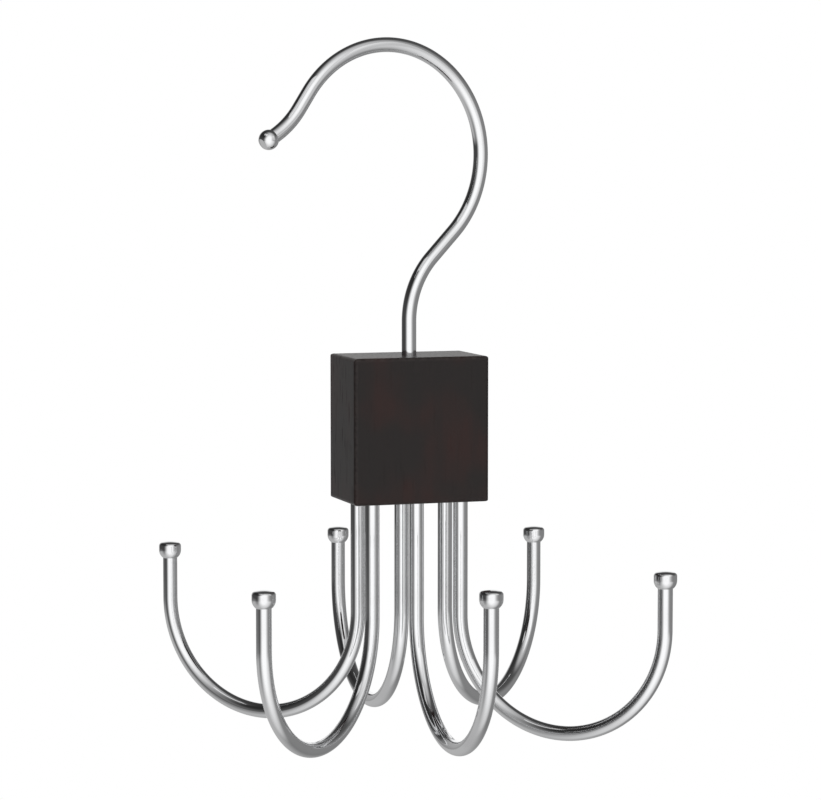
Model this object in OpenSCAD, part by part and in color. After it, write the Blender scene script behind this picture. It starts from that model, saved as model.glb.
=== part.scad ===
// Tie hanger: a swivelling wire hook over a small wooden block that carries six tie hooks.
// The origin is the rod seat, the highest point of the inside of the crook. +Z is up,
// +X runs along the width of the block and -Y is its front.

/* [Wire] */
// Thickness of the wire that all the hooks are bent from
wire_d = 4; // [3:0.1:5]
// How much fuller in radius a bend comes out than the straight wire
bend_swell = 0.01; // [0.01:0.01:0.03]

/* [Swivel hook] */
// Straight wire between the block and the first bend
neck_straight = 9; // [4:0.5:20]
// Angle of the neck bend
neck_bend_angle = 45.5; // [30:0.5:60]
// Straight wire between the neck bend and the crook
neck_slope = 9.6; // [4:0.2:16]
// Inner diameter of the crook, which hangs on the rod
crook_d = 54.6; // [40:0.2:70]
// Angle that the crook sweeps through
crook_angle = 191.4; // [170:0.2:210]
// Straight wire between the crook and the tail bend
tail_straight = 5.2; // [1:0.2:12]
// Angle of the tail, which bends back outwards
tail_bend_angle = 24.5; // [10:0.5:45]
// Straight wire between the tail bend and the middle of the ball
nose_straight = 2; // [1:0.5:10]
// Centre-line radius of the neck bend and of the tail bend
small_bend_r = 24; // [12:0.5:36]
// Turn of the hook on its swivel, counter-clockwise seen from above
hook_turn = 13; // [-180:0.5:180]

/* [End ball] */
// Diameter of the ball on the end of the swivel hook
ball_d = 5.4; // [5.2:0.1:8]
// Length of the ball along the wire, from its open back to its flattened nose
ball_l = 4.4; // [4:0.1:5]

/* [Block] */
// Width of the block
block_w = 37.8; // [34:0.2:60]
// Depth of the block, front to back
block_d = 23.2; // [19:0.2:40]
// Height of the block
block_h = 39.3; // [32:0.1:60]
// Rounding of the edges of the block
block_edge_r = 1; // [0.5:0.1:1.5]

/* [Swivel bearing] */
// Running clearance round the wire in the bore of the block
swivel_clear = 0.1; // [0.05:0.01:0.3]
// Outer diameter of the thrust washer
washer_d = 6.6; // [5.6:0.1:7]
// Thickness of the thrust washer
washer_t = 0.8; // [0.5:0.1:1.5]
// Outer diameter of the collar that is pressed on the end of the wire
collar_d = 6.2; // [5.4:0.1:6.6]
// Length of the collar
collar_l = 5; // [3:0.1:7]
// Clearance round the washer in its recess
recess_clear = 0.2; // [0.1:0.05:0.3]
// End play between the washer and the shoulder that it carries
end_play = 0.1; // [0.05:0.01:0.3]
// Room between the collar and the plug below it
collar_room = 1.5; // [0.5:0.1:3]
// Length of the plug that closes the recess
plug_l = 4; // [2:0.1:6]
// Glue play round the plug
plug_play = 0.05; // [0.02:0.01:0.1]

/* [Tie hooks] */
// Distance between the columns of stems, along the width of the block
column_pitch = 12.5; // [11:0.1:15]
// Distance between the two rows of stems, front to back
row_pitch = 13; // [12.8:0.1:13.4]
// Depth of the holes that the stems are glued into
stem_hole_l = 24; // [15:0.5:28]
// Play round a stem in its hole, filled with glue
glue_play = 0.1; // [0.05:0.01:0.2]
// Straight stem between the block and the round bottom of a tie hook
stem_drop = 31; // [20:0.5:60]
// Distance from the stem to the tip of a tie hook, centre to centre
hook_span = 60; // [40:1:90]
// Straight wire from the round bottom up to the end of the tip
tip_rise = 14.4; // [8:0.2:28]
// Turn of the corner hooks away from straight ahead
corner_turn = 44.4; // [35:0.2:55]

/* [Tip caps] */
// Outer diameter of a cap
cap_d = 6.2; // [5.6:0.1:8]
// Height of a cap
cap_h = 4.6; // [4:0.1:6]
// Thickness of its flat top, over the end of the wire
cap_top_t = 1.2; // [0.8:0.1:1.6]
// Rounding of the rim of its flat top
cap_rim_r = 1.2; // [0.5:0.1:1.5]
// Height of the part below the rim that curves in towards the wire
cap_skirt_h = 2.2; // [1.5:0.1:2.5]
// Radius of that curve
cap_skirt_r = 2.8; // [2.6:0.1:4]
// Play round the wire in a cap or in the ball
cap_play = 0.02; // [0.01:0.01:0.05]

/* [Hidden] */
$fn = 64;

chrome = [0.82, 0.83, 0.85];
steel = [0.62, 0.63, 0.65];
black_wood = [0.12, 0.1, 0.1];

wire_r = wire_d / 2;
bend_lap = 0.2;
// How far a cut runs on past the face that it opens
cut_over = 1;

// Heights above the underside of the block
collar_z = plug_l + collar_room;
washer_z = collar_z + collar_l;
shoulder_z = washer_z + washer_t + end_play;
recess_d = washer_d + 2 * recess_clear;

// A wire is a list of bends, and each bend is [straight run before it, radius, angle].
// A positive angle turns left and a negative one right. A pose is [x, z, heading].
crook_r = (crook_d + wire_d) / 2;
hook_bends = [
  [block_h - collar_z + neck_straight, small_bend_r, -neck_bend_angle],
  [neck_slope, crook_r, crook_angle],
  [tail_straight, small_bend_r, -tail_bend_angle],
  [nose_straight, 0, 0]
];
tie_bends = [
  [stem_hole_l + stem_drop, hook_span / 2, 180],
  [tip_rise, 0, 0]
];

function ahead(pose, run) =
  [pose[0] + run * cos(pose[2]), pose[1] + run * sin(pose[2]), pose[2]];
function side(bend) = bend[2] < 0 ? -1 : 1;
function bend_centre(pose, bend) =
  ahead([pose[0], pose[1], pose[2] + 90], side(bend) * bend[1]);
function bent(pose, bend) =
  let (
    centre = bend_centre(pose, bend),
    heading = pose[2] + bend[2],
    end = ahead([centre[0], centre[1], heading - 90], side(bend) * bend[1])
  )
  [end[0], end[1], heading];
function pose_after(bends, count, start) =
  count == 0
    ? start
    : bent(
        ahead(pose_after(bends, count - 1, start), bends[count - 1][0]),
        bends[count - 1]
      );

// The swivel hook starts at the lower end of its shank, on the swivel axis
hook_start = [0, collar_z, 90];
crook_centre = bend_centre(
  ahead(pose_after(hook_bends, 1, hook_start), neck_slope), hook_bends[1]
);
hook_end = pose_after(hook_bends, len(hook_bends), hook_start);

// The swivel axis and the underside of the block, seen from the rod seat
axis_x = -crook_centre[0] * cos(hook_turn);
axis_y = -crook_centre[0] * sin(hook_turn);
underside_z = -(crook_centre[1] + crook_r - wire_r);

// A tie hook starts at the blind end of its hole and points down
tie_start = [0, stem_hole_l, -90];
tie_end = pose_after(tie_bends, len(tie_bends), tie_start);

// A stem's place is [column, row, direction that its hook points in]
front_way = -90;
back_way = 90;
front = [0, -1, front_way];
front_left = [-1, -1, front_way - corner_turn];
front_right = [1, -1, front_way + corner_turn];
back = [0, 1, back_way];
back_left = [-1, 1, back_way + corner_turn];
back_right = [1, 1, back_way - corner_turn];

// Each straight run reaches a little way into the fuller bends beside it
module wire(bends, start) {
  last = len(bends) - 1;
  for (i = [0 : last]) {
    bend = bends[i];
    from = pose_after(bends, i, start);
    into_last_bend = i > 0 ? bend_lap : 0;
    into_next_bend = i < last ? bend_lap : 0;
    translate([from[0], 0, from[1]])
      rotate([0, 90 - from[2], 0])
        translate([0, 0, -into_last_bend])
          cylinder(d = wire_d, h = into_last_bend + bend[0] + into_next_bend);
    if (bend[2] != 0)
      wire_bend(bend, ahead(from, bend[0]));
  }
}

module wire_bend(bend, from) {
  centre = bend_centre(from, bend);
  first = bend[2] > 0 ? from[2] - 90 : from[2] + 90 + bend[2];
  translate([centre[0], 0, centre[1]])
    rotate([90, 0, 0])
      rotate([0, 0, first])
        rotate_extrude(angle = abs(bend[2]))
          translate([bend[1], 0])
            circle(r = wire_r + bend_swell);
}

module on_swivel_axis() {
  translate([axis_x, axis_y, underside_z])
    children();
}

module turned_hook() {
  on_swivel_axis()
    rotate([0, 0, hook_turn])
      children();
}

module on_stem(place) {
  on_swivel_axis()
    translate([place[0] * column_pitch, place[1] * row_pitch / 2, 0])
      rotate([0, 0, place[2]])
        children();
}

module rounded_plate(w, h, thick) {
  translate([0, 0, -thick / 2])
    linear_extrude(thick)
      union() {
        square([w - 2 * block_edge_r, h], center = true);
        square([w, h - 2 * block_edge_r], center = true);
        for (x = [-1, 1], y = [-1, 1])
          translate([x * (w / 2 - block_edge_r), y * (h / 2 - block_edge_r)])
            circle(r = block_edge_r);
      }
}

module ring(outer_d, inner_d, length) {
  difference() {
    cylinder(d = outer_d, h = length);
    translate([0, 0, -cut_over])
      cylinder(d = inner_d, h = length + 2 * cut_over);
  }
}

module swivel_hook() {
  color(chrome)
    turned_hook()
      wire(hook_bends, hook_start);
}

// A ball with a flattened nose, drilled from behind for the end of the wire
module hook_end_ball() {
  color(chrome)
    turned_hook()
      translate([hook_end[0], 0, hook_end[1]])
        rotate([0, 90 - hook_end[2], 0])
          rotate_extrude()
            difference() {
              intersection() {
                circle(d = ball_d);
                translate([0, -ball_l / 2])
                  square([ball_d, ball_l]);
              }
              translate([0, -ball_d])
                square([wire_r + cap_play, ball_d]);
            }
}

module swivel_washer() {
  color(steel)
    on_swivel_axis()
      translate([0, 0, washer_z])
        ring(washer_d, wire_d + 2 * swivel_clear, washer_t);
}

module swivel_collar() {
  color(steel)
    on_swivel_axis()
      translate([0, 0, collar_z])
        ring(collar_d, wire_d + 2 * cap_play, collar_l);
}

module block_solid() {
  translate([0, 0, block_h / 2])
    intersection() {
      rounded_plate(block_w, block_d, block_h);
      rotate([90, 0, 0])
        rounded_plate(block_w, block_h, block_d);
      rotate([90, 0, 90])
        rounded_plate(block_d, block_h, block_w);
    }
}

// A hole that is open at the underside of the block
module hole_from_below(d, depth) {
  translate([0, 0, -cut_over])
    cylinder(d = d, h = depth + cut_over);
}

module block() {
  color(black_wood)
    difference() {
      on_swivel_axis()
        block_solid();
      on_swivel_axis()
        hole_from_below(wire_d + 2 * swivel_clear, block_h + cut_over);
      on_swivel_axis()
        hole_from_below(recess_d, shoulder_z);
      for (place = [front, front_left, front_right, back, back_left, back_right])
        on_stem(place)
          hole_from_below(wire_d + 2 * glue_play, stem_hole_l);
    }
}

module block_plug() {
  color(black_wood)
    on_swivel_axis()
      cylinder(d = recess_d - 2 * plug_play, h = plug_l);
}

module tie_hook(place) {
  color(chrome)
    on_stem(place)
      wire(tie_bends, tie_start);
}

// Flat top with a rounded rim, a short straight band and a skirt that curves in
module cap_outline() {
  cap_r = cap_d / 2;
  skirt_top = cap_top_t - cap_h + cap_skirt_h;
  translate([0, skirt_top])
    square([cap_r, cap_h - cap_skirt_h - cap_rim_r]);
  translate([0, cap_top_t - cap_rim_r])
    square([cap_r - cap_rim_r, cap_rim_r]);
  translate([cap_r - cap_rim_r, cap_top_t - cap_rim_r])
    circle(r = cap_rim_r);
  intersection() {
    translate([cap_r - cap_skirt_r, skirt_top])
      circle(r = cap_skirt_r);
    translate([0, skirt_top - cap_skirt_h])
      square([cap_r, cap_skirt_h]);
  }
}

module tip_cap(place) {
  color(chrome)
    on_stem(place)
      translate([tie_end[0], 0, tie_end[1]])
        rotate_extrude()
          difference() {
            cap_outline();
            translate([0, -cap_h])
              square([wire_r + cap_play, cap_h]);
          }
}

swivel_hook();
hook_end_ball();
swivel_washer();
swivel_collar();
block();
block_plug();

tie_hook(front);  // tie_hook_front
tie_hook(front_left);  // tie_hook_front_left
tie_hook(front_right);  // tie_hook_front_right
tie_hook(back);  // tie_hook_back
tie_hook(back_left);  // tie_hook_back_left
tie_hook(back_right);  // tie_hook_back_right

tip_cap(front);  // tip_cap_front
tip_cap(front_left);  // tip_cap_front_left
tip_cap(front_right);  // tip_cap_front_right
tip_cap(back);  // tip_cap_back
tip_cap(back_left);  // tip_cap_back_left
tip_cap(back_right);  // tip_cap_back_right
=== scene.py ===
"""The looks of a tie hanger: chromed wire hooks in a black wooden block, hung in a pale studio."""

import math

import bmesh
import bpy
from mathutils import Matrix, Vector


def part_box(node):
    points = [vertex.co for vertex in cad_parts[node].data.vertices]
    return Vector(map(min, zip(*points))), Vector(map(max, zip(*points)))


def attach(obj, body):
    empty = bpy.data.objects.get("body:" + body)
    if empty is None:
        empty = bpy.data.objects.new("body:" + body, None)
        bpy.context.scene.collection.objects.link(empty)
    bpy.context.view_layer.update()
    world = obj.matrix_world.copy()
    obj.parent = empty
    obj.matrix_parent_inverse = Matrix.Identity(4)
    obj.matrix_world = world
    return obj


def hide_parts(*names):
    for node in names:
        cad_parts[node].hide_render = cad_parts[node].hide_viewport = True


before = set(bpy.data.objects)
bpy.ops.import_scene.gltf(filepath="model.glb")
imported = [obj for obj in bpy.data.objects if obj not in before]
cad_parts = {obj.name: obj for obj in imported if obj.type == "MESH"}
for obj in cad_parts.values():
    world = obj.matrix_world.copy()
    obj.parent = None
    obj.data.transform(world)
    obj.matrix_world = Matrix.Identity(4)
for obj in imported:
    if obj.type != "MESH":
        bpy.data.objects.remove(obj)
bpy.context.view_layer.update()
MM = 0.001


# The block: close-grained hardwood, stained nearly black under a thin satin lacquer. It is sawn and sanded
# to a brick with eased edges, bored through for the swivel, and drilled from below for the six stems.
def feed(tree, node, inputs):
    """Sets each named input of a node to a value, or links it from another node's output."""
    for name, value in inputs.items():
        if isinstance(value, bpy.types.NodeSocket):
            tree.links.new(value, node.inputs[name])
        else:
            node.inputs[name].default_value = value
    return node


def put(tree, kind, inputs, **choices):
    """Adds a shader node of one kind with its choices made and its inputs fed."""
    node = tree.nodes.new("ShaderNode" + kind)
    for name, choice in choices.items():
        setattr(node, name, choice)
    return feed(tree, node, inputs)


def between(tree, share, low, high):
    """The colour that lies at a share of the way from low to high."""
    first, second, result = 6, 7, 2
    mix = put(tree, "Mix", {0: share, first: low, second: high}, data_type="RGBA")
    return mix.outputs[result]


def number(tree, value, from_low, from_high, to_low, to_high):
    """A value moved smoothly from one range to another."""
    span = {"From Min": from_low, "From Max": from_high, "To Min": to_low, "To Max": to_high}
    node = put(tree, "MapRange", {"Value": value, **span}, interpolation_type="SMOOTHSTEP")
    return node.outputs["Result"]


def multiplied(tree, first, second):
    """The product of two numbers."""
    return put(tree, "Math", {0: first, 1: second}, operation="MULTIPLY").outputs[0]


def stretched(tree, place, scale):
    """A place with each of its sides multiplied by its own scale."""
    return put(tree, "VectorMath", {0: place, 1: scale}, operation="MULTIPLY").outputs[0]


def effect(name, takes, gives):
    """An empty shader node group, with its input and output nodes."""
    tree = bpy.data.node_groups.new(name, "ShaderNodeTree")
    for title, kind, value in takes:
        socket = tree.interface.new_socket(title, in_out="INPUT", socket_type="NodeSocket" + kind)
        if value is not None:
            socket.default_value = value
    for title, kind in gives:
        tree.interface.new_socket(title, in_out="OUTPUT", socket_type="NodeSocket" + kind)
    return tree, tree.nodes.new("NodeGroupInput"), tree.nodes.new("NodeGroupOutput")


def use(tree, group, inputs):
    """Places an effect in a material, with its own values."""
    node = tree.nodes.new("ShaderNodeGroup")
    node.node_tree = group
    return feed(tree, node, inputs)


def new_finish(name):
    """A new material, its nodes and its main shader."""
    material = bpy.data.materials.new(name)
    material.use_nodes = True
    return material, material.node_tree, material.node_tree.nodes["Principled BSDF"]


def dress(obj, material):
    """Gives a piece its material, in place of any it had."""
    obj.data.materials.clear()
    obj.data.materials.append(material)
    return obj


wood_grain, grain_in, grain_out = effect(
    "wood_grain",
    [
        ("Place", "Vector", None),
        ("Streak Scale", "Vector", (260, 260, 26)),
        ("Pore Scale", "Vector", (1500, 1500, 110)),
    ],
    [("Streaks", "Float"), ("Pores", "Float")],
)
streak_place = stretched(wood_grain, grain_in.outputs["Place"], grain_in.outputs["Streak Scale"])
pore_place = stretched(wood_grain, grain_in.outputs["Place"], grain_in.outputs["Pore Scale"])
streak_look = {"Scale": 1, "Detail": 5, "Distortion": 0.4}
pore_look = {"Scale": 1, "Detail": 2}
streaks = put(wood_grain, "TexNoise", {"Vector": streak_place, **streak_look})
pores = put(wood_grain, "TexNoise", {"Vector": pore_place, **pore_look})
feed(
    wood_grain,
    grain_out,
    {
        "Streaks": number(wood_grain, streaks.outputs["Fac"], 0.3, 0.7, 0, 1),
        "Pores": number(wood_grain, pores.outputs["Fac"], 0.56, 0.72, 0, 1),
    },
)


def edge_distance(tree, place, box):
    """How far a point on a box lies from its nearest edge: the middle one of its distances to the faces."""
    low, high = box
    centre = (low + high) / 2
    half = (high - low) / 2
    from_centre = put(tree, "VectorMath", {0: place, 1: centre}, operation="SUBTRACT").outputs[0]
    size = put(tree, "VectorMath", {0: from_centre}, operation="ABSOLUTE").outputs[0]
    inside = put(tree, "VectorMath", {0: half, 1: size}, operation="SUBTRACT").outputs[0]
    x, y, z = put(tree, "SeparateXYZ", {0: inside}).outputs
    lower = put(tree, "Math", {0: x, 1: y}, operation="MINIMUM").outputs[0]
    upper = put(tree, "Math", {0: x, 1: y}, operation="MAXIMUM").outputs[0]
    nearer = put(tree, "Math", {0: upper, 1: z}, operation="MINIMUM").outputs[0]
    return put(tree, "Math", {0: lower, 1: nearer}, operation="MAXIMUM").outputs[0]


def stained_wood(name, box, edge_wear_and_highlight):
    """Black stain that lets a little brown through, under a satin lacquer. Towards the edges the colour
    turns lighter in patches: partly wear where the lacquer is thin, partly a painted highlight.
    """
    stain = (0.0158, 0.0136, 0.0132, 1)
    warm_stain = (0.027, 0.0138, 0.0125, 1)
    # A lighter brown for the edges: partly worn lacquer, partly painted highlight.
    worn_and_lit_edge = (0.06, 0.049, 0.046, 1)
    wear_and_highlight_full, wear_and_highlight_ends = 0.2 * MM, 1.1 * MM
    satin, in_pores = 0.34, 0.55
    grain_depth = 0.03 * MM
    material, tree, shader = new_finish(name)
    place = put(tree, "TexCoord", {}).outputs["Object"]
    grain = use(tree, wood_grain, {"Place": place})
    cloud = put(tree, "TexNoise", {"Vector": place, "Scale": 45, "Detail": 2}).outputs["Fac"]
    warmth = number(tree, cloud, 0.38, 0.6, 0.1, 1)
    tone = between(tree, warmth, stain, warm_stain)
    streaked = between(tree, number(tree, grain.outputs["Streaks"], 0, 1, 0, 0.5), tone, stain)
    # Painted highlight and wear: within about a millimetre of an edge the colour lightens, in patches.
    near_edge_wear_and_highlight = number(tree, edge_distance(tree, place, box), wear_and_highlight_full, wear_and_highlight_ends, edge_wear_and_highlight, 0)
    patchy = put(tree, "TexNoise", {"Vector": place, "Scale": 900, "Detail": 4}).outputs["Fac"]
    wear_and_highlight = multiplied(tree, near_edge_wear_and_highlight, number(tree, patchy, 0.35, 0.65, 0, 1))
    ridges = number(tree, grain.outputs["Streaks"], 0, 1, 0, 0.35)
    depth = put(tree, "Math", {0: ridges, 1: grain.outputs["Pores"]}, operation="SUBTRACT").outputs[0]
    relief = put(tree, "Bump", {"Height": depth, "Strength": 0.25, "Distance": grain_depth})
    feed(
        tree,
        shader,
        {
            "Base Color": between(tree, wear_and_highlight, streaked, worn_and_lit_edge),
            "Roughness": number(tree, grain.outputs["Pores"], 0, 1, satin, in_pores),
            "Specular IOR Level": 0.22,
            "Normal": relief.outputs["Normal"],
        },
    )
    return material


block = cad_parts["block"]
dress(block, stained_wood("black_wood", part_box("block"), 0.35))


# The plug: a disc of the same wood, glued into the underside over the end of the swivel.
# It is stained with the block and its face is sanded flush.
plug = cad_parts["block_plug"]
dress(plug, stained_wood("black_wood_plug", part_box("block_plug"), 0.4))


# The swivel's washer and collar: bright steel, turned on a lathe. The collar is pressed on the end
# of the shank, and the block rides on the washer above it. Both are shut in by the plug.
plated_surface, surface_in, surface_out = effect(
    "plated_surface",
    [
        ("Place", "Vector", None),
        ("Line Scale", "Vector", (2500, 2500, 30)),
        ("Smudge Scale", "Float", 70),
        ("Polish", "Float", 0.05),
        ("Smudged", "Float", 0.12),
    ],
    [("Roughness", "Float"), ("Height", "Float"), ("Smudges", "Float")],
)
line_place = stretched(plated_surface, surface_in.outputs["Place"], surface_in.outputs["Line Scale"])
lines = put(plated_surface, "TexNoise", {"Vector": line_place, "Scale": 1, "Detail": 3})
handling = put(
    plated_surface,
    "TexNoise",
    {"Vector": surface_in.outputs["Place"], "Scale": surface_in.outputs["Smudge Scale"], "Detail": 4},
)
smudges = number(plated_surface, handling.outputs["Fac"], 0.45, 0.75, 0, 1)
polish, smudged = surface_in.outputs["Polish"], surface_in.outputs["Smudged"]
feed(
    plated_surface,
    surface_out,
    {
        "Roughness": number(plated_surface, smudges, 0, 1, polish, smudged),
        "Height": lines.outputs["Fac"],
        "Smudges": smudges,
    },
)


def plated_metal(name, place_of, base, smudged, relief, values):
    """Bright plated metal. Its polish dulls in smudges, and fine lines of its making show close to."""
    material, tree, shader = new_finish(name)
    surface = use(tree, plated_surface, {"Place": place_of(tree), **values})
    bump = put(tree, "Bump", {"Height": surface.outputs["Height"], "Strength": 1, "Distance": relief})
    feed(
        tree,
        shader,
        {
            "Base Color": between(tree, surface.outputs["Smudges"], base, smudged),
            "Metallic": 1,
            "Roughness": surface.outputs["Roughness"],
            "Normal": bump.outputs["Normal"],
        },
    )
    return material


def object_place(tree):
    """The place on the piece itself."""
    return put(tree, "TexCoord", {}).outputs["Object"]


turned_steel = plated_metal(
    "turned_steel",
    object_place,
    (0.56, 0.56, 0.58, 1),
    (0.5, 0.49, 0.49, 1),
    0.004 * MM,
    {"Line Scale": (400, 400, 9000), "Polish": 0.22, "Smudged": 0.34},
)
for name in ("swivel_washer", "swivel_collar"):
    dress(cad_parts[name], turned_steel)


# The swivel hook: 4 mm steel wire, bent cold round formers and chromed. Its shank goes down through the
# block to the collar, and above the block it leans out to the crook, whose end turns back up a little.
wire_r = 2 * MM
ring_sides = 48
bend_step = math.radians(2)
straight_step = 3 * MM


def bent_wire(foot, plane, heading, bends):
    """Follows a wire from its foot through its bends, in the upright plane that holds the direction plane.
    Each bend is [straight run before it, radius, angle], and left is positive.
    Gives [centre, ahead] at each step."""
    up = Vector((0, 0, 1))
    at = foot.copy()
    stations = []

    def ahead():
        return plane * math.cos(heading) + up * math.sin(heading)

    for run, radius, angle in bends:
        steps = max(1, round(run / straight_step))
        for i in range(steps + 1):
            if stations and i == 0:
                continue
            stations.append((at + ahead() * (run * i / steps), ahead()))
        at = at + ahead() * run
        if angle:
            side = math.copysign(1, angle)
            across = plane * -math.sin(heading) + up * math.cos(heading)
            middle = at + across * side * radius
            steps = max(2, round(abs(angle) / bend_step))
            for i in range(1, steps + 1):
                turned = heading + angle * i / steps
                outward = plane * math.sin(turned) - up * math.cos(turned)
                at = middle + outward * side * radius
                stations.append((at, plane * math.cos(turned) + up * math.sin(turned)))
            heading += angle
    return stations


def wire_mesh(name, stations, plane):
    """Sweeps the wire's round section along its stations, with eased ends. The attribute place_on_wire
    keeps where each point was before the wire was bent: its place across the wire, and along it."""
    ease = 0.3 * MM
    level = plane.cross(Vector((0, 0, 1))).normalized()
    first, last = stations[0], stations[-1]
    sections = [(first[0], first[1], wire_r - ease)]
    sections.append((first[0] + first[1] * ease, first[1], wire_r))
    sections += [(at, ahead, wire_r) for at, ahead in stations[1:-1]]
    sections.append((last[0] - last[1] * ease, last[1], wire_r))
    sections.append((last[0], last[1], wire_r - ease))

    mesh = bmesh.new()
    unbent = mesh.verts.layers.float_vector.new("place_on_wire")
    rings = []
    along = 0
    for i, (at, ahead, radius) in enumerate(sections):
        if i:
            along += (at - sections[i - 1][0]).length
        across = level.cross(ahead).normalized()
        ring = []
        for k in range(ring_sides):
            turn = math.tau * k / ring_sides
            vertex = mesh.verts.new(at + (across * math.cos(turn) + level * math.sin(turn)) * radius)
            vertex[unbent] = (math.cos(turn) * radius, math.sin(turn) * radius, along)
            ring.append(vertex)
        rings.append(ring)
    for lower, upper in zip(rings, rings[1:]):
        for k in range(ring_sides):
            following = (k + 1) % ring_sides
            mesh.faces.new((lower[k], lower[following], upper[following], upper[k]))
    mesh.faces.new(list(reversed(rings[0])))
    mesh.faces.new(rings[-1])
    return piece_of(name, mesh)


def piece_of(name, mesh, sharp=40):
    """Turns a bmesh into a smooth piece whose edges over that many degrees stay sharp."""
    bmesh.ops.recalc_face_normals(mesh, faces=mesh.faces)
    data = bpy.data.meshes.new(name)
    mesh.to_mesh(data)
    mesh.free()
    data.polygons.foreach_set("use_smooth", [True] * len(data.polygons))
    data.set_sharp_from_angle(angle=math.radians(sharp))
    piece = bpy.data.objects.new(name, data)
    bpy.context.scene.collection.objects.link(piece)
    return piece


def place_on_wire(tree):
    """The place on the wire as it was before it was bent."""
    return put(tree, "Attribute", {}, attribute_name="place_on_wire").outputs["Vector"]


chrome, dull_chrome = (0.93, 0.935, 0.945, 1), (0.87, 0.87, 0.88, 1)
chromed_wire = plated_metal(
    "chromed_wire",
    place_on_wire,
    chrome,
    dull_chrome,
    0.0003 * MM,
    {"Line Scale": (2600, 2600, 24), "Smudge Scale": 70, "Polish": 0.07, "Smudged": 0.12},
)

collar_low, collar_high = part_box("swivel_collar")
block_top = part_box("block")[1].z
swivel_axis = Vector(((collar_low.x + collar_high.x) / 2, (collar_low.y + collar_high.y) / 2, 0))
hook_plane = swivel_axis.normalized()
shank_end = swivel_axis + Vector((0, 0, collar_low.z))
small_bend_r = 24 * MM
neck_straight, neck_turn = 9 * MM, math.radians(-45.5)
neck_slope, crook_inner_r, crook_turn = 9.6 * MM, 27.3 * MM, math.radians(191.4)
tail_straight, tail_turn = 5.2 * MM, math.radians(-24.5)
tail_end = 2 * MM
hook_bends = [
    (block_top - collar_low.z + neck_straight, small_bend_r, neck_turn),
    (neck_slope, crook_inner_r + wire_r, crook_turn),
    (tail_straight, small_bend_r, tail_turn),
    (tail_end, 0, 0),
]
hook_stations = bent_wire(shank_end, hook_plane, math.radians(90), hook_bends)
hook_wire = wire_mesh("hook_wire", hook_stations, hook_plane)
dress(hook_wire, chromed_wire)
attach(hook_wire, "swivel")
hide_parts("swivel_hook")


# The end ball: a turned and chromed steel bead with a flattened nose, drilled from behind and pressed on
# the end of the crook, so that clothes and hands don't meet a sharp wire end.
def round_over(centre, radius, start, end, steps=8):
    """Points [radius, height] along an arc from one angle to another, in degrees."""
    points = []
    for i in range(steps + 1):
        angle = math.radians(start + (end - start) * i / steps)
        points.append((centre[0] + radius * math.cos(angle), centre[1] + radius * math.sin(angle)))
    return points


def turned_mesh(name, outline, place):
    """Turns an outline of [radius, height] points once round its axis, and puts it in its place."""
    on_axis = 0.001 * MM
    mesh = bmesh.new()
    unbent = mesh.verts.layers.float_vector.new("place_on_wire")
    rings = []
    for radius, height in outline:
        if radius < on_axis:
            vertex = mesh.verts.new((0, 0, height))
            vertex[unbent] = (0, 0, height)
            rings.append([vertex] * ring_sides)
            continue
        ring = []
        for k in range(ring_sides):
            turn = math.tau * k / ring_sides
            vertex = mesh.verts.new((math.cos(turn) * radius, math.sin(turn) * radius, height))
            vertex[unbent] = vertex.co
            ring.append(vertex)
        rings.append(ring)
    for lower, upper in zip(rings, rings[1:]):
        for k in range(ring_sides):
            following = (k + 1) % ring_sides
            corners = dict.fromkeys((lower[k], lower[following], upper[following], upper[k]))
            mesh.faces.new(list(corners))
    bmesh.ops.transform(mesh, matrix=place, verts=mesh.verts)
    return piece_of(name, mesh)


chromed_turning = plated_metal(
    "chromed_turning",
    place_on_wire,
    chrome,
    dull_chrome,
    0.0004 * MM,
    {"Line Scale": (300, 300, 5000), "Smudge Scale": 160, "Polish": 0.06, "Smudged": 0.12},
)

ball_r = 2.7 * MM
ball_half_length = 2.2 * MM
fit_r = wire_r + 0.02 * MM
ball_outline = [(0, ball_half_length)]
flat_angle = math.degrees(math.asin(ball_half_length / ball_r))
ball_outline += round_over((0, 0), ball_r, flat_angle, -flat_angle, 24)
ball_outline += [(fit_r, -ball_half_length), (fit_r, 0), (0, 0)]
ball_at, ball_way = hook_stations[-1]
ball_place = Matrix.Translation(ball_at) @ ball_way.to_track_quat("Z", "Y").to_matrix().to_4x4()
end_bead = turned_mesh("end_bead", ball_outline, ball_place)
dress(end_bead, chromed_turning)
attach(end_bead, "swivel")
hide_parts("hook_end_ball")


# The six tie hooks: the same chromed wire, each with one end glued upright into the block. Below it each is
# bent half round and up again to its tip: two point straight ahead and straight back, four to the corners.
cap_top_t = 1.2 * MM
sides = ("front", "front_left", "front_right", "back", "back_left", "back_right")
tips = {}
for side in sides:
    low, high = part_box("tie_hook_" + side)
    cap_low, cap_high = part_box("tip_cap_" + side)
    tip = Vector(((cap_low.x + cap_high.x) / 2, (cap_low.y + cap_high.y) / 2, cap_high.z - cap_top_t))
    middle = (low + high) / 2
    stem_top = Vector((2 * middle.x - tip.x, 2 * middle.y - tip.y, high.z))
    reach = Vector((tip.x - stem_top.x, tip.y - stem_top.y, 0))
    out = reach.normalized()
    bend_r = reach.length / 2
    bend_z = low.z + wire_r + bend_r
    tie_bends = [(stem_top.z - bend_z, bend_r, math.pi), (tip.z - bend_z, 0, 0)]
    tie_wire = wire_mesh("tie_wire_" + side, bent_wire(stem_top, out, math.radians(-90), tie_bends), out)
    dress(tie_wire, chromed_wire)
    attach(tie_wire, "hanger")
    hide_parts("tie_hook_" + side)
    tips[side] = tip


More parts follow.
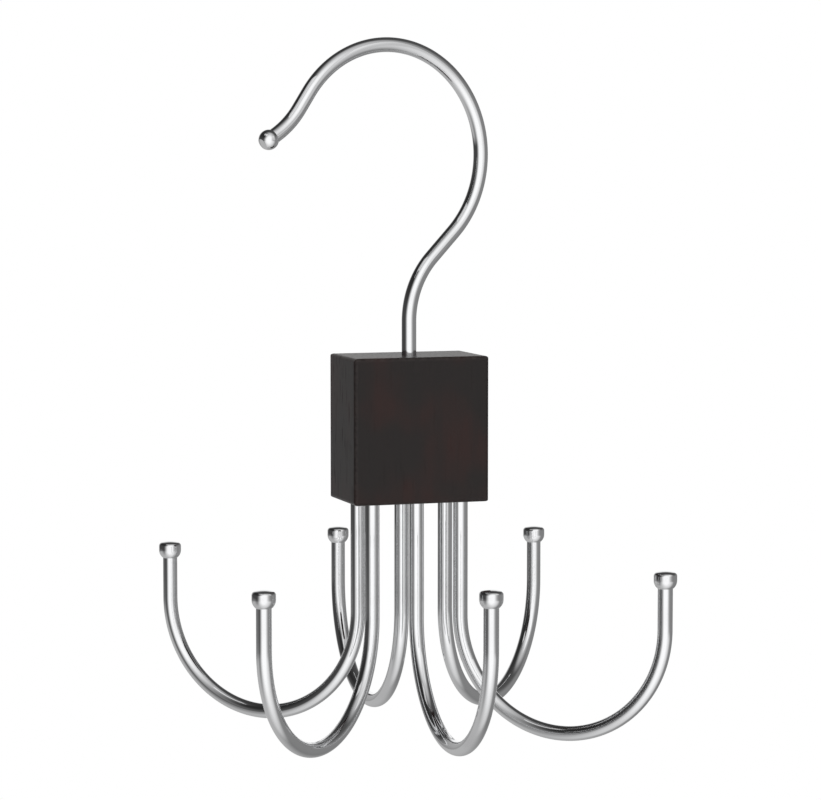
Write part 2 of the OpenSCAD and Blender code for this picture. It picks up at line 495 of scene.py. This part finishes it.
# The tip caps: small turned and chromed caps, pressed on the six tips. Each has a slightly crowned top
# that rolls over into its side, and below its widest part it curves in until it meets the wire.
cap_r, cap_h = 3.1 * MM, 4.6 * MM
rim_r = 1.0 * MM
crown_tilt = 14
tilt_sin, tilt_cos = math.sin(math.radians(crown_tilt)), math.cos(math.radians(crown_tilt))
skirt_h, skirt_r = 2.2 * MM, 2.8 * MM
skirt_top = cap_top_t - cap_h + skirt_h
skirt_end_angle = -math.degrees(math.asin(skirt_h / skirt_r))
crown_edge_r = cap_r - rim_r + rim_r * tilt_sin
crown_r = crown_edge_r / tilt_sin
rim_z = cap_top_t - crown_r + (crown_r - rim_r) * tilt_cos
cap_outline = [(0, cap_top_t)]
cap_outline += round_over((0, cap_top_t - crown_r), crown_r, 90, 90 - crown_tilt)[1:]
cap_outline += round_over((cap_r - rim_r, rim_z), rim_r, 90 - crown_tilt, 0)[1:]
cap_outline += round_over((cap_r - skirt_r, skirt_top), skirt_r, 0, skirt_end_angle, 12)
cap_outline += [(fit_r, cap_top_t - cap_h), (fit_r, 0), (0, 0)]
for side, tip in tips.items():
    cap = turned_mesh("cap_" + side, cap_outline, Matrix.Translation(tip))
    dress(cap, chromed_turning)
    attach(cap, "hanger")
    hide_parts("tip_cap_" + side)


# The camera: it stands to the left of the front and a little above, far off and with a long lens.
view_azimuth, view_elevation = math.radians(-18.15), math.radians(4.9)
view_distance = 836.8 * MM
view_height = -93.34 * MM
framed_right_by = 0.42 * MM
camera_right = Vector((math.cos(view_azimuth), math.sin(view_azimuth), 0))
camera_back = Vector(
    (
        math.sin(view_azimuth) * math.cos(view_elevation),
        -math.cos(view_azimuth) * math.cos(view_elevation),
        math.sin(view_elevation),
    )
)
looked_at = swivel_axis + Vector((0, 0, view_height)) + camera_right * framed_right_by
camera = bpy.data.objects.new("camera", bpy.data.cameras.new("camera"))
camera.data.lens = 135.8
camera.data.sensor_width = 36
camera.location = looked_at + camera_back * view_distance
camera.rotation_mode = "QUATERNION"
camera.rotation_quaternion = (-camera_back).to_track_quat("-Z", "Y")
bpy.context.scene.collection.objects.link(camera)
bpy.context.scene.camera = camera


# The studio: a wide pale floor far below the hanger, soft lamps, and a room that is white to the camera.
# The chrome sees a soft box in front of it, grey walls that are darker on the left, a dark ceiling,
# a grey ground, a white backdrop behind it, and a faint strip of light on each side of the crook.
floor_z = -0.7
floor_r = 9
floor_tone = (0.9, 0.9, 0.9, 1)
fade_from, fade_to = 0.5, 1.4
floor_mesh = bmesh.new()
bmesh.ops.create_circle(floor_mesh, cap_ends=True, radius=floor_r, segments=96)
floor = piece_of("studio_floor", floor_mesh)
floor.location = (swivel_axis.x, swivel_axis.y, floor_z)
floor.visible_glossy = False
paint, tree, shader = new_finish("floor_paint")
away = put(tree, "VectorMath", {0: object_place(tree)}, operation="LENGTH").outputs["Value"]
fade = number(tree, away, fade_from, fade_to, 0, 1)
seen = put(tree, "LightPath", {}).outputs["Is Camera Ray"]
share = multiplied(tree, fade, seen)
glow = put(tree, "Emission", {"Color": (1, 1, 1, 1), "Strength": 1})
mixed = put(tree, "MixShader", {0: share, 1: shader.outputs[0], 2: glow.outputs[0]})
feed(tree, shader, {"Base Color": floor_tone, "Roughness": 0.8, "Specular IOR Level": 0.1})
feed(tree, tree.nodes["Material Output"], {"Surface": mixed.outputs[0]})
floor.data.materials.append(paint)

world = bpy.data.worlds.new("studio_room")
bpy.context.scene.world = world
world.use_nodes = True
tree = world.node_tree
way = put(tree, "TexCoord", {}).outputs["Generated"]
camera_side = camera_right.cross(Vector((0, 0, 1)))


def towards(direction):
    """How far the way that a ray looks agrees with a direction, from -1 to 1."""
    return put(tree, "VectorMath", {0: way, 1: direction}, operation="DOT_PRODUCT").outputs["Value"]


rightward, forward = towards(camera_right), towards(camera_side)
upward = put(tree, "SeparateXYZ", {0: way}).outputs["Z"]

box_glow = 1.04
box_lean = number(tree, upward, 0, 0.6, -0.05, -0.18)
box_across = put(tree, "Math", {0: rightward, 1: 1.05, 2: box_lean}, operation="MULTIPLY_ADD").outputs[0]
box_up = multiplied(tree, upward, 0.74)
on_box = put(tree, "CombineXYZ", {"X": box_across, "Z": box_up}).outputs[0]
from_middle = put(tree, "VectorMath", {0: on_box}, operation="LENGTH").outputs["Value"]
box_face = number(tree, from_middle, 0.35, 1, 1, 0)
in_front = number(tree, forward, -0.2, 0.2, 0, 1)
soft_box = multiplied(tree, box_face, in_front)

left_wall, right_wall = 0.055, 0.23
ceiling_share = 0.35
side_wall = number(tree, rightward, -1, 1, left_wall, right_wall)
ceiling_dark = number(tree, upward, 0.05, 0.65, 1, ceiling_share)
room = multiplied(tree, side_wall, ceiling_dark)

back_wall_glow, backdrop_glow = 0.38, 0.95
back_wall_turn = math.radians(-165)
back_wall_way = camera_right * math.sin(back_wall_turn) + camera_side * math.cos(back_wall_turn)
back_wall = number(tree, towards(back_wall_way), 0.78, 0.97, 0, back_wall_glow)
backdrop = number(tree, towards(-camera_side), 0.88, 0.98, 0, backdrop_glow)

left_ground = number(tree, rightward, -0.95, -0.5, 0.16, 0.42)
right_ground = number(tree, rightward, -0.2, 0.9, 0, 0.23)
near_ground = put(tree, "Math", {0: left_ground, 1: right_ground}, operation="ADD").outputs[0]
far_ground = number(tree, rightward, -0.5, 1.05, 0.45, 0.11)
far_and_near = number(tree, forward, -0.2, 0.6, far_ground, near_ground)
ground = number(tree, upward, -0.28, -0.07, far_and_near, 0)

for brighter in (back_wall, backdrop, ground):
    room = put(tree, "Math", {0: room, 1: brighter}, operation="MAXIMUM").outputs[0]
shade = put(tree, "MapRange", {"Value": soft_box, "To Min": room, "To Max": box_glow}).outputs["Result"]
seen = put(tree, "LightPath", {}).outputs["Is Camera Ray"]
level = number(tree, seen, 0, 1, shade, 1)
feed(tree, tree.nodes["Background"], {"Color": (1, 1, 1, 1), "Strength": level})


def add_lamp(name, place, width, height, power, aim):
    """An area lamp that looks at a point."""
    lamp = bpy.data.objects.new(name, bpy.data.lights.new(name, "AREA"))
    lamp.data.shape = "RECTANGLE"
    lamp.data.size, lamp.data.size_y = width, height
    lamp.data.energy = power
    lamp.location = place
    lamp.rotation_mode = "QUATERNION"
    lamp.rotation_quaternion = (aim - place).to_track_quat("-Z", "Y")
    bpy.context.scene.collection.objects.link(lamp)
    return lamp


lamp_size = 1.2
for name, place, power in (
    ("lamp_left", (-1.2, -1.0, 1.3), 21),
    ("lamp_right", (1.4, -0.6, 1.0), 13),
    ("lamp_behind", (0.5, 1.5, 1.0), 13),
):
    lamp = add_lamp(name, Vector(place), lamp_size, lamp_size, power, looked_at)
    lamp.visible_glossy = False

from_crook = 0.25
for name, turn, rise, wide, tall, glow, aim_rise in (
    ("strip_right", 60, 0.075, 0.11, 0.25, 0.25, 0.075),
    ("strip_left", -50, 0.29, 0.24, 0.12, 0.45, 0),
):
    turn = math.radians(turn)
    strip_way = camera_right * math.sin(turn) + camera_side * math.cos(turn)
    place = strip_way * from_crook + Vector((0, 0, rise))
    power = glow * math.pi * wide * tall
    strip = add_lamp(name, place, wide, tall, power, Vector((0, 0, aim_rise)))
    strip.visible_camera = False

bpy.context.scene.view_settings.view_transform = "Standard"
